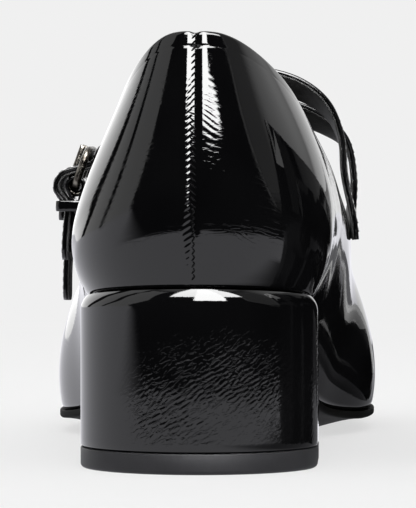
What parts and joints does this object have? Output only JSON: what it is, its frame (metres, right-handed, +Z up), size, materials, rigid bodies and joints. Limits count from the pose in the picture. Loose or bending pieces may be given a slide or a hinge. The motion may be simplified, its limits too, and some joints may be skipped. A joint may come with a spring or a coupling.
{
  "type": "mary jane pump",
  "caption": "Low-cut patent pump with a rounded toe, buckled instep straps whose ends hang free, and a covered block heel.",
  "frame": {"origin": "middle of the heel top piece's underside, on the floor", "axes": "+Y to the toe, +X to the medial side, +Z up"},
  "size_m": [0.0863, 0.2496, 0.1051],
  "materials": {
    "patent": "gloss, finely crinkled patent",
    "sole": "matt",
    "lining": "matt",
    "heel_rubber": "matt",
    "metal": "dark antique"
  },
  "bodies": {
    "root": {"upper": "patent", "outsole": "sole", "insole": "lining", "heel": "patent", "top_piece": "heel_rubber", "strap_rear": "patent", "strap_front": "patent", "tab_rear": "patent", "tab_front": "patent", "buckle_rear": "metal", "buckle_front": "metal", "prong_rear": "metal", "prong_front": "metal", "keeper_rear": "patent", "keeper_front": "patent"}
  },
  "joints": []
}
